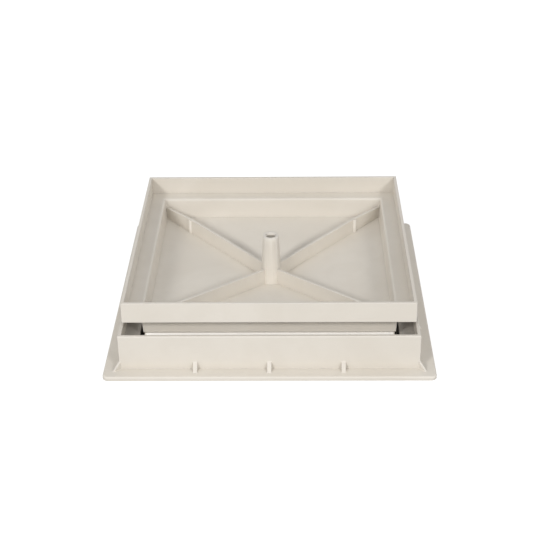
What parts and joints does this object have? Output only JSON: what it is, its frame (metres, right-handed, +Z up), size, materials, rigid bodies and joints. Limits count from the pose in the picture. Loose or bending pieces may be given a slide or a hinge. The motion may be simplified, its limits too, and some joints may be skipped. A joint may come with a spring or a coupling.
{
  "type": "recessed access cover",
  "caption": "Square recessed access cover: a moulded infill tray with a dished, ribbed pan and a lifting post, standing in a flanged frame.",
  "frame": {"origin": "centre of the frame's underside, at the level of the ground it stands on", "axes": "+Z up, out of the shaft; the front of the picture faces -Y; +X to the right"},
  "size_m": [0.332, 0.332, 0.077],
  "materials": {
    "frame_plastic": "ivory moulded plastic, fine satin texture",
    "tray_plastic": "ivory moulded plastic, fine satin texture"
  },
  "bodies": {
    "root": {"frame": "frame_plastic", "cover_tray": "tray_plastic"}
  },
  "joints": []
}
